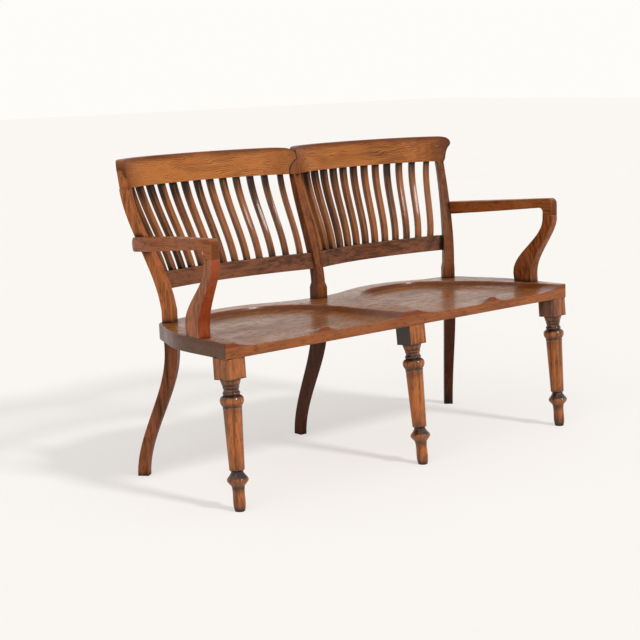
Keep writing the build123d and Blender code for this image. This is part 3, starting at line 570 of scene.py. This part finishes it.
@dataclass(frozen=True)
class TurnedFinish(OakFinish):
    """Oak of a turned leg, with old wax in its grooves and painted shade on the left face of its block.

    grime holds pairs of a share of the turned length, from the foot up, and how dark it is there. The left
    face of the square block is darkened as painted shade, by a strength set for each leg.
    """

    foot: Triple = (0.0, 0.0, 0.0)
    upwards: Triple = (0.0, 0.0, 1.0)
    turned_length: float = 0.347
    black: Triple = (22, 11, 6)
    left_face_shade: float = 0.0
    grime: tuple[tuple[float, float], ...] = (
        (0.0, 0.6), (0.03, 0.35), (0.13, 0.15), (0.178, 0.8), (0.195, 0.6), (0.235, 0.2), (0.255, 0.8),
        (0.27, 1.0), (0.308, 1.0), (0.322, 0.5), (0.37, 0.25), (0.5, 0.03), (0.7, 0.05), (0.76, 0.4),
        (0.782, 0.3), (0.794, 1.0), (0.812, 0.5), (0.835, 0.0), (0.855, 0.4), (0.876, 1.0), (0.888, 0.6),
        (0.905, 1.0), (0.918, 0.35), (0.93, 1.0), (0.94, 0.3), (0.952, 1.0), (0.968, 0.4), (0.985, 0.35),
        (0.998, 1.0), (1.012, 0.15))
    patches: Noise = Noise((60, 60, 60), 3, gain=1.6, base=0.15)
    left_facing: Band = (0.6, 0.9)

    def marks_and_shade(self, tree: Tree, colour: bpy.types.NodeSocket) -> bpy.types.NodeSocket:
        """Darkens the grooves by the share of the turned length where they lie, and paints shade on a
        block's left face.

        The ramp spans twice the turned length, so that the block above it is on the ramp too.

        Args:
            tree: The material's tree.
            colour: The wood's colour.

        Returns:
            The stained colour's socket.
        """
        seen = tree.add("TexCoord").outputs["Object"]
        risen = tree.add("VectorMath", {"operation": "SUBTRACT"}, {0: seen, 1: self.foot})
        axis = tuple(part / self.turned_length for part in self.upwards)
        along = tree.add("VectorMath", {"operation": "DOT_PRODUCT"},
                         {0: risen.outputs[0], 1: axis}).outputs["Value"]
        ramp = tree.add("ValToRGB", {}, {0: tree.sum("MULTIPLY", along, 0.5)})
        stops = ramp.color_ramp.elements
        while len(stops) < len(self.grime):
            stops.new(0.5)
        for stop, (share, depth) in zip(stops, self.grime):
            stop.position, stop.color = share / 2, (depth, depth, depth, 1.0)
        grooves = tree.sum("MULTIPLY", ramp.outputs[0], tree.uneven(seen, self.patches), clamp=True)
        # Painted shade: the block's left face, which the light does not reach, is darkened towards black.
        leftwards = tree.eased(tree.sum("MULTIPLY", tree.normal_part("X"), -1.0), *self.left_facing)
        block = tree.sum("GREATER_THAN", along, 1.0)
        left_face_shade = tree.sum("MULTIPLY", tree.sum("MULTIPLY", leftwards, block), self.left_face_shade)
        return tree.blend(tree.sum("MAXIMUM", grooves, left_face_shade), colour, shade_of(*self.black))


@dataclass(frozen=True)
class SupportFinish(OakFinish):
    """Oak of an arm support, whose faces that look to the front are redder and darker than its sides."""

    edge_red: Triple = (136, 44, 4)
    redness: float = 0.62
    front_facing: Band = (0.45, 0.8)

    def marks_and_shade(self, tree: Tree, colour: bpy.types.NodeSocket) -> bpy.types.NodeSocket:
        """Reddens the faces that look to the front.

        Args:
            tree: The material's tree.
            colour: The wood's colour.

        Returns:
            The stained colour's socket.
        """
        front = tree.eased(tree.sum("MULTIPLY", tree.normal_part("Y"), -1.0), *self.front_facing)
        return tree.blend(tree.sum("MULTIPLY", front, self.redness), colour, shade_of(*self.edge_red))


@dataclass(frozen=True)
class SeatFinish(OakFinish):
    """Oak of the seat: sat pale in the hollows, darker on their walls, with a redder front edge.

    wall_head is the band of depth below the top over which the dark wall starts, and wall_foot the band
    over which it ends, as heights above the hollow's floor.
    """

    fall: float = math.tan(math.radians(0.7))
    top: float = 0.445
    floor_depth: float = 0.0165
    wall: Triple = (84, 34, 6)
    wall_head: Band = (0.0004, 0.004)
    wall_foot: Band = (0.006, 0.0005)
    wall_strength: float = 0.85
    front: Triple = (140, 60, 14)
    front_reach: float = 0.003
    front_strength: float = 0.35

    def marks_and_shade(self, tree: Tree, colour: bpy.types.NodeSocket) -> bpy.types.NodeSocket:
        """Darkens the walls of the hollows by the depth below the top, and reddens the front edge.

        Args:
            tree: The material's tree.
            colour: The wood's colour.

        Returns:
            The stained colour's socket.
        """
        _, parts = tree.object_place()
        back = tree.sum("SUBTRACT", parts["Y"], FRONT_Y)
        level = tree.sum("SUBTRACT", self.top, tree.sum("MULTIPLY", back, self.fall))
        sunk = tree.sum("SUBTRACT", level, parts["Z"])
        at_floor = tree.eased(sunk, *(self.floor_depth - height for height in self.wall_foot))
        wall = tree.sum("MULTIPLY", tree.eased(sunk, *self.wall_head),
                        tree.sum("SUBTRACT", 1.0, at_floor))
        colour = tree.blend(tree.sum("MULTIPLY", wall, self.wall_strength), colour, shade_of(*self.wall))
        front = tree.sum("SUBTRACT", 1.0, tree.eased(back, 0.0, self.front_reach))
        return tree.blend(tree.sum("MULTIPLY", front, self.front_strength), colour, shade_of(*self.front))


CREST = KeystoneFinish(pale=(180, 110, 52), deep=(84, 40, 10), waviness=0.05, ring_spacing=0.0054,
                       ring_strength=0.65, streak_strength=0.35, mottle_strength=1.3, shade=0.0, near_joint_shade=0.3,
                       flecks=0.1)
RAIL = OakFinish(pale=(126, 76, 48), deep=(40, 19, 7), mottle_strength=2.6)
SLAT = OakFinish(pale=(146, 88, 48), deep=(42, 22, 11), waviness=0.01, ring_strength=0.25, near_joint_shade=0.5,
                 streak_strength=0.7, flecks=0.3)
POST = OakFinish(pale=(172, 100, 52), deep=(58, 25, 8), ring_strength=0.3)
CENTRE_POST = KeystoneFinish(pale=(148, 84, 40), deep=(44, 20, 8), ring_strength=0.3)
# Painted shade: the rear legs stand under the seat, so their oak is made far darker; the left one is given
# a lighter pale.
SHADED_REAR_LEG = OakFinish(pale=(82, 40, 14), deep=(22, 10, 4), ring_strength=0.3)
FRONT_LEG = TurnedFinish(pale=(176, 98, 36), deep=(72, 32, 7), waviness=0.003, ring_strength=0.2,
                         streak_strength=0.8, mottle_strength=1.4, coat=0.7, coat_rough=0.06)
ARM = OakFinish(pale=(156, 86, 38), deep=(46, 20, 7), mottle_strength=2.6, ring_strength=0.3)
SUPPORT = SupportFinish(pale=(166, 98, 60), deep=(62, 27, 12), ring_strength=0.3)
SEAT = SeatFinish(pale=(150, 92, 44), deep=(62, 32, 12), gloss=0.28, sheen=0.2, coat=0.2,
                  coat_rough=0.25, ring_strength=0.3, streak_strength=0.5, near_joint_shade=0.3, flecks=1.0,
                  end=(42, 29, 21))
DOWEL = OakFinish(pale=(206, 172, 124), deep=(168, 130, 86), coat=0.0, gloss=0.6)


@dataclass
class Skin:
    """Closed skin of one new piece, woven from rings of points that follow each other along it.

    rings and grain are arrays of levels by points by 3, and shade is a number for each level. Edges that
    turn by more than crease stay sharp.
    """

    name: str
    rings: np.ndarray
    grain: np.ndarray
    shade: np.ndarray
    crease: float = math.radians(38)

    def build(self) -> bpy.types.Object:
        """Weaves quads between the rings and closes both ends, with all faces outwards.

        Returns:
            The new object.
        """
        levels, around, _ = self.rings.shape
        number = np.arange(levels * around).reshape(levels, around)
        beside = np.roll(number, -1, axis=1)
        quads = np.stack([number[:-1], beside[:-1], beside[1:], number[1:]], axis=-1).reshape(-1, 4)
        ends = [number[0, ::-1].tolist(), number[-1].tolist()]
        points = self.rings.reshape(-1, 3)
        corners = points[quads] - points.mean(axis=0)
        swell = np.einsum("ij,ij->i", corners[:, 0], np.cross(corners[:, 1], corners[:, 2])).sum()
        swell += np.einsum("ij,ij->i", corners[:, 0], np.cross(corners[:, 2], corners[:, 3])).sum()
        faces = quads.tolist() + ends
        if swell < 0:
            faces = [face[::-1] for face in faces]
        mesh = bpy.data.meshes.new(self.name)
        mesh.from_pydata(points.tolist(), [], faces)
        mesh.shade_smooth()
        mesh.set_sharp_from_angle(angle=self.crease)
        run = mesh.attributes.new("grain", "FLOAT_VECTOR", "POINT")
        run.data.foreach_set("vector", self.grain.astype(np.float32).ravel())
        tint = mesh.attributes.new("shade", "FLOAT", "POINT")
        tint.data.foreach_set("value", np.repeat(self.shade, around).astype(np.float32))
        made = bpy.data.objects.new(self.name, mesh)
        bpy.context.scene.collection.objects.link(made)
        return made


# Where in the tree the first piece of a list is cut, and how far on from it each further one.
FIRST_CUT = (0.0, 0.021, 0.034)
NEXT_CUT = (0.37, 0.009, -0.006)
CUT_BY_LETTER = 0.11


def dress_nodes(finish: OakFinish, run: Run, names: list[str]) -> None:
    """Gives frame nodes their own material of one finish, each cut from another place in the tree.

    Args:
        finish: The finish.
        run: The way of the grain.
        names: Names of the nodes.
    """
    for number, name in enumerate(names):
        shift = [first + step * number for first, step in zip(FIRST_CUT, NEXT_CUT)]
        shift[0] += CUT_BY_LETTER * len(name)
        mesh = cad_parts[name].data
        mesh.materials.clear()
        mesh.materials.append(finish.material(name + "_oak", run, tuple(shift)))
        log.info("dressed %s", name)


@dataclass
class Back:
    """The two chair backs: crest rails, lower rails, slats and posts.

    Depths are from the front edge, other places from the middle of the settee. slat_foot and slat_head
    are the first slat's place and the step to the next. slat_thickness is at the foot and at the head.
    slat_sway holds the factors of the share of the height, its square and its cube. tenon is a width, a
    thickness and a length. slat_tint is the spread of the slats' shades. The two fields after slat_tint
    are the painted shade, with some grime, at a slat's head under the crest and at its foot above the
    rail, and the band of the height over which it comes or goes. grain_along is the step in the tree from
    one slat to the next;
    grain_across and grain_inwards are the first slat's place, the step, and after how many steps the row
    starts again.
    """

    rail_top: float = 0.576
    rail_tilt: float = math.radians(5)
    rail_end_depth: float = 0.438
    crest_bottom: float = 0.811
    rail_depth: float = 0.505
    rail_bend_radius: float = 0.560
    rail_bend_centre: float = 0.295
    crest_depth: float = 0.582
    crest_bend_radius: float = 0.784
    crest_bend_centre: float = 0.304
    crest_length: float = 0.632
    crest_flare: tuple[float, float] = (0.023, 0.043)
    crest_flare_power: int = 8
    slat_count: int = 13
    slat_foot: tuple[float, float] = (0.038, 0.0404)
    slat_head: tuple[float, float] = (0.037, 0.045)
    slat_head_setback: float = 0.003
    slat_width: float = 0.0178
    slat_thickness: tuple[float, float] = (0.018, 0.021)
    slat_sway: Triple = (0.45, 1.75, -1.2)
    tenon: Triple = (0.013, 0.008, 0.016)
    slat_levels: int = 25
    slat_sides: int = 36
    slat_power: float = 7
    rim_power: int = 8
    tint_seed: int = 11
    slat_tint: float = 0.16
    head_shade_and_grime: tuple[float, Band] = (0.75, (0.72, 0.98))
    foot_shade_and_grime: tuple[float, Band] = (0.3, (0.0, 0.12))
    grain_along: float = 0.53
    grain_across: tuple[float, float, int] = (0.018, 0.004, 5)
    grain_inwards: tuple[float, float, int] = (-0.012, 0.005, 7)
    right_post: Triple = (124, 70, 36)

    def build(self) -> None:
        """Builds the slats and dresses every piece of the back."""
        dress_nodes(CREST, Run.ACROSS, ["crest_rail_left"])
        dress_nodes(replace(CREST, shade=0.2), Run.ACROSS, ["crest_rail_right"])
        dress_nodes(RAIL, Run.ACROSS, ["lower_rail_left", "lower_rail_right"])
        dress_nodes(POST, Run.UPRIGHT, ["back_post_left"])
        dress_nodes(replace(POST, pale=self.right_post, shade=0.2), Run.UPRIGHT, ["back_post_right"])
        dress_nodes(CENTRE_POST, Run.UPRIGHT, ["back_post_center"])
        finish = SLAT.material("slat_oak", None)
        tints = np.random.default_rng(self.tint_seed).normal(0.0, self.slat_tint, (2, self.slat_count))
        for row, (side, way) in enumerate(SIDES.items()):
            for number in range(self.slat_count):
                self.slat(side, way, number, float(tints[row, number]), finish)

    def foot(self, x: float) -> tuple[np.ndarray, float]:
        """Where a slat stands: the rail's arc, on a face that falls to the back.

        Args:
            x: Distance of the slat's foot from the middle of the settee.

        Returns:
            The foot's middle, and how far the slat is turned to stand square to the arc.
        """
        offset = x - self.rail_bend_centre
        back = self.rail_depth - offset ** 2 / (2 * self.rail_bend_radius) - self.rail_end_depth
        spot = np.array([x, FRONT_Y + self.rail_end_depth + back * math.cos(self.rail_tilt),
                         self.rail_top - back * math.sin(self.rail_tilt)])
        return spot, math.atan(-offset / self.rail_bend_radius)

    def head(self, x: float) -> tuple[np.ndarray, float]:
        """Where a slat meets the crest: an arc whose ends flare forwards with a power of the distance.

        Args:
            x: Distance of the slat's head from the middle of the settee.

        Returns:
            The head's middle, and how far the slat is turned there.
        """
        offset = x - self.crest_bend_centre
        span = self.crest_length - self.crest_bend_centre if offset > 0 else self.crest_bend_centre
        share, power = offset / span, self.crest_flare_power
        flare = self.crest_flare[offset > 0]
        depth = self.crest_depth - offset ** 2 / (2 * self.crest_bend_radius) - flare * share ** power
        slope = -offset / self.crest_bend_radius - flare * power / span * share ** (power - 1)
        spot = np.array([x, FRONT_Y + depth + self.slat_head_setback, self.crest_bottom])
        return spot, math.atan(slope)

    def slat(self, side: str, way: float, number: int, tint: float,
             finish: bpy.types.Material) -> None:
        """Builds one swaying slat with its two tenons.

        The section is a superellipse, and its middle moves from the rail to the crest by a cubic of the
        share of the height: nearly upright at the rail and at the crest, and slanted between them. The
        foot's rim follows the slope of the rail's top, which fades with a power of the height left.

        Args:
            side: left or right.
            way: -1 for the left back and 1 for the right one.
            number: Number of the slat, from the centre post outwards.
            tint: How much darker the slat is than its fellows.
            finish: The material.
        """
        foot, foot_turn = self.foot(self.slat_foot[0] + self.slat_foot[1] * number)
        head, head_turn = self.head(self.slat_head[0] + self.slat_head[1] * number)
        rise = np.linspace(0, 1, self.slat_levels)
        share = np.concatenate([[0, 0], rise, [1, 1]])
        reach = np.concatenate([[-self.tenon[2], 0], np.zeros_like(rise), [0, self.tenon[2]]])
        shoulder = np.concatenate([[1, 1], np.zeros_like(rise), [1, 1]])[:, None]
        first, second, third = self.slat_sway
        sway = share * (first + share * (second + share * third))
        middle = np.stack([foot[0] + (head[0] - foot[0]) * share, foot[1] + (head[1] - foot[1]) * sway,
                           foot[2] + (head[2] - foot[2]) * share + reach], axis=-1)
        turned = foot_turn + (head_turn - foot_turn) * share[:, None]
        around = np.linspace(0, 2 * math.pi, self.slat_sides, endpoint=False)
        wide = np.sign(np.cos(around)) * np.abs(np.cos(around)) ** (2 / self.slat_power)
        deep = np.sign(np.sin(around)) * np.abs(np.sin(around)) ** (2 / self.slat_power)
        at_foot, at_head = self.slat_thickness
        width = self.slat_width * (1 - shoulder) + self.tenon[0] * shoulder
        thick = at_foot + (at_head - at_foot) * share[:, None]
        thick = thick * (1 - shoulder) + self.tenon[1] * shoulder
        local_x, local_y = wide * width / 2, deep * thick / 2
        moved_x = local_x * np.cos(turned) - local_y * np.sin(turned)
        moved_y = local_x * np.sin(turned) + local_y * np.cos(turned)
        sunk = -moved_y * math.tan(self.rail_tilt) * (1 - share[:, None]) ** self.rim_power
        rings = middle[:, None, :] + np.stack([moved_x, moved_y, sunk], axis=-1)
        rings[..., 0] *= way
        along = np.broadcast_to(middle[:, 2:3], local_x.shape)
        cut = number + self.slat_count * (way > 0)
        (first_x, step_x, row_x), (first_y, step_y, row_y) = self.grain_across, self.grain_inwards
        grain = np.stack([along + self.grain_along * cut, local_x + first_x + step_x * (cut % row_x),
                          local_y + first_y + step_y * (cut % row_y)], axis=-1)
        # Painted shade, with some grime, darkens the slat's head under the crest and its foot above the
        # rail.
        (at_top, top_band), (at_base, base_band) = self.head_shade_and_grime, self.foot_shade_and_grime
        tint_and_end_shade = tint + at_top * ease(share, *top_band) + at_base * (1 - ease(share, *base_band))
        name = f"slat_{side}_{number + 1:02d}"
        made = Skin("dressed_" + name, rings, grain, tint_and_end_shade).build()
        made.data.materials.append(finish)
        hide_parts(name)
        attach(made, "root")
        log.info("built %s", made.name)


@dataclass
class Seat:
    """The long saddled seat board."""

    def build(self) -> None:
        """Dresses the seat."""
        dress_nodes(SEAT, Run.ACROSS, ["seat"])


@dataclass
class Legs:
    """Three turned front legs and three bandsawn rear legs.

    axes holds each front leg's foot and head, as distances from the middle and from the front edge. For
    each leg the field after head_level is how dark the painted shade on the left face of its block is, and
    shades how dark the whole leg.
    """

    axes: dict[str, tuple[float, float, float, float]] = field(default_factory=lambda: {
        "left": (-0.628, 0.002, -0.624, 0.031), "center": (0.018, -0.013, 0.018, 0.031),
        "right": (0.628, 0.002, 0.624, 0.031)})
    head_level: float = 0.4016
    # How dark the painted shade on the left face of each front leg's block is.
    left_face_shade: dict[str, float] = field(default_factory=lambda: {"left": 0.25, "center": 0.95, "right": 0.5})
    outer_rear: Triple = (142, 80, 46)
    shades: dict[str, float] = field(default_factory=lambda: {"left": 0.1, "center": 0.0, "right": 0.25})

    def build(self) -> None:
        """Dresses the legs."""
        for side, (foot_x, foot_depth, head_x, head_depth) in self.axes.items():
            rise = Vector((head_x - foot_x, head_depth - foot_depth, self.head_level)).normalized()
            finish = replace(FRONT_LEG, foot=(foot_x, FRONT_Y + foot_depth, 0.0), upwards=tuple(rise),
                             left_face_shade=self.left_face_shade[side], shade=self.shades[side])
            dress_nodes(finish, Run.UPRIGHT, ["front_leg_" + side])
        dress_nodes(replace(SHADED_REAR_LEG, pale=self.outer_rear), Run.UPRIGHT, ["rear_leg_left"])
        # Painted shade: the centre and right rear legs, under the seat, keep the darkened oak.
        dress_nodes(SHADED_REAR_LEG, Run.UPRIGHT, ["rear_leg_center", "rear_leg_right"])


@dataclass
class Arms:
    """Two bandsawn arms on curved supports, of which only the left one has the redder front edge."""

    right_support: Triple = (158, 86, 38)

    def build(self) -> None:
        """Dresses the arms and supports."""
        dress_nodes(ARM, Run.DEEP, ["arm_left", "arm_right"])
        dress_nodes(SUPPORT, Run.UPRIGHT, ["arm_support_left"])
        dress_nodes(replace(SUPPORT, redness=0.0, shade=0.25, pale=self.right_support), Run.UPRIGHT,
                    ["arm_support_right"])


@dataclass
class Fastenings:
    """Hidden dowels and the screws that hold the arms."""

    steel_tone: Triple = (120, 112, 102)
    rust_tone: Triple = (74, 46, 30)
    rust: Noise = Noise((900, 900, 900), 3, band=(0.45, 0.6))
    steel_rough: float = 0.4
    rust_rough: float = 0.75

    def build(self) -> None:
        """Dresses the dowels and screws."""
        for name in ("keystone_dowels", "crest_dowels", "arm_dowels"):
            dress_nodes(DOWEL, Run.UPRIGHT, [name])
        self.steel(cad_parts["arm_screws"].data)

    def steel(self, mesh: bpy.types.Mesh) -> None:
        """Gives the screws dull steel with brown spots of rust."""
        made = bpy.data.materials.new("old_screw_steel")
        made.use_nodes = True
        made.node_tree.nodes.clear()
        tree = Tree(made.node_tree)
        rust = tree.spots(tree.add("TexCoord").outputs["Object"], self.rust)
        colour = tree.blend(rust, shade_of(*self.steel_tone), shade_of(*self.rust_tone))
        rough = tree.sum("MULTIPLY_ADD", rust, self.rust_rough - self.steel_rough, self.steel_rough)
        shader = tree.add("BsdfPrincipled", {}, {"Base Color": colour, "Roughness": rough,
                                                 "Metallic": tree.sum("SUBTRACT", 1.0, rust)})
        tree.add("OutputMaterial", {}, {"Surface": shader.outputs[0]})
        mesh.materials.clear()
        mesh.materials.append(made)


@dataclass
class Studio:
    """Pale floor, soft lights and the camera.

    Angles are in degrees. lights holds each sun's name, the way towards it, its spread and its strength.
    floor_glow is the share of the floor's own light that the camera sees, which keeps the shadows pale.
    """

    camera_place: Triple = (-2.8246, -3.2456, 1.1341)
    yaw: float = 40.02
    pitch: float = 9.84
    roll: float = -1.63
    lens: float = 82.82
    sensor: float = 36.0
    floor_half: float = 30.0
    paper: tuple[Triple, Triple] = ((254, 251, 247), (249, 246, 242))
    paper_clouds: Noise = Noise((1.5, 1.5, 1.5), 2)
    glow: Triple = (255, 252, 248)
    floor_glow: float = 0.5
    soft_light: Triple = (250, 248, 246)
    soft_strength: float = 0.45
    surround: Triple = (254, 252, 249)
    lights: list[tuple[str, Triple, float, float]] = field(default_factory=lambda: [
        ("window_light", (0.25, -1.0, 0.85), 9.0, 1.9),
        ("wall_light", (-0.9, -0.5, 0.6), 60.0, 0.8)])

    def build(self) -> None:
        """Builds the floor, world, lights and camera."""
        self.floor()
        self.world()
        for name, source, spread, strength in self.lights:
            lamp = bpy.data.lights.new(name, "SUN")
            lamp.angle, lamp.energy = math.radians(spread), strength
            made = bpy.data.objects.new(name, lamp)
            bpy.context.scene.collection.objects.link(made)
            made.matrix_world = Vector(source).to_track_quat("Z", "Y").to_matrix().to_4x4()
        self.camera()

    def floor(self) -> None:
        """Lays the pale floor."""
        half = self.floor_half
        mesh = bpy.data.meshes.new("studio_floor")
        mesh.from_pydata([(-half, -half, 0), (half, -half, 0), (half, half, 0), (-half, half, 0)], [],
                         [(0, 1, 2, 3)])
        made = bpy.data.objects.new("studio_floor", mesh)
        bpy.context.scene.collection.objects.link(made)
        paper = bpy.data.materials.new("studio_paper")
        paper.use_nodes = True
        paper.node_tree.nodes.clear()
        tree = Tree(paper.node_tree)
        clouds = tree.clouds(tree.add("TexCoord").outputs["Object"], self.paper_clouds)
        colour = tree.blend(clouds, shade_of(*self.paper[0]), shade_of(*self.paper[1]))
        shader = tree.add("BsdfPrincipled", {}, {"Base Color": colour, "Roughness": 0.9,
                                                 "Specular IOR Level": 0.1})
        glow = tree.add("Emission", {}, {"Color": shade_of(*self.glow), "Strength": 1.0})
        to_camera = tree.add("LightPath").outputs["Is Camera Ray"]
        lifted = tree.add("MixShader", {}, {0: tree.sum("MULTIPLY", to_camera, self.floor_glow),
                                            1: shader.outputs[0], 2: glow.outputs[0]})
        tree.add("OutputMaterial", {}, {"Surface": lifted.outputs[0]})
        mesh.materials.append(paper)

    def world(self) -> None:
        """Sets a white surround that cameras and gloss see, and a softer light for the rest."""
        world = bpy.data.worlds.new("studio_surround")
        bpy.context.scene.world = world
        world.use_nodes = True
        world.node_tree.nodes.clear()
        tree = Tree(world.node_tree)
        path = tree.add("LightPath")
        seen = tree.sum("ADD", path.outputs["Is Camera Ray"], path.outputs["Is Glossy Ray"])
        seen = tree.sum("ADD", seen, path.outputs["Is Transmission Ray"], clamp=True)
        soft = tree.add("Background", {}, {"Color": shade_of(*self.soft_light),
                                           "Strength": self.soft_strength})
        white = tree.add("Background", {}, {"Color": shade_of(*self.surround), "Strength": 1.0})
        mixed = tree.add("MixShader", {}, {0: seen, 1: soft.outputs[0], 2: white.outputs[0]})
        tree.add("OutputWorld", {}, {"Surface": mixed.outputs[0]})

    def camera(self) -> None:
        """Places the camera where the photograph was taken from."""
        yaw, pitch, roll = (math.radians(angle) for angle in (self.yaw, self.pitch, self.roll))
        ahead = Vector((math.sin(yaw) * math.cos(pitch), math.cos(yaw) * math.cos(pitch),
                        -math.sin(pitch)))
        level = Vector((math.cos(yaw), -math.sin(yaw), 0.0))
        upright = level.cross(ahead)
        right = math.cos(roll) * level + math.sin(roll) * upright
        up = math.cos(roll) * upright - math.sin(roll) * level
        lens = bpy.data.cameras.new("camera")
        lens.lens, lens.sensor_width = self.lens, self.sensor
        made = bpy.data.objects.new("camera", lens)
        bpy.context.scene.collection.objects.link(made)
        made.matrix_world = Matrix.Translation(self.camera_place) @ Matrix(
            (right, up, -ahead)).transposed().to_4x4()
        bpy.context.scene.camera = made


def main() -> None:
    """Builds and dresses the settee and its studio, and sets a plain view transform."""
    logging.basicConfig(level=logging.INFO, format="%(name)s: %(message)s")
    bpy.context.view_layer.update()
    for effect in (Figure(), WearAndHighlight(), DirtAndShade(), Tone()):
        effect.build()
    for part in (Seat(), Back(), Legs(), Arms(), Fastenings(), Studio()):
        part.build()
        log.info("finished %s", type(part).__name__)
    bpy.context.scene.view_settings.view_transform = "Standard"


if __name__ == "__main__":
    main()
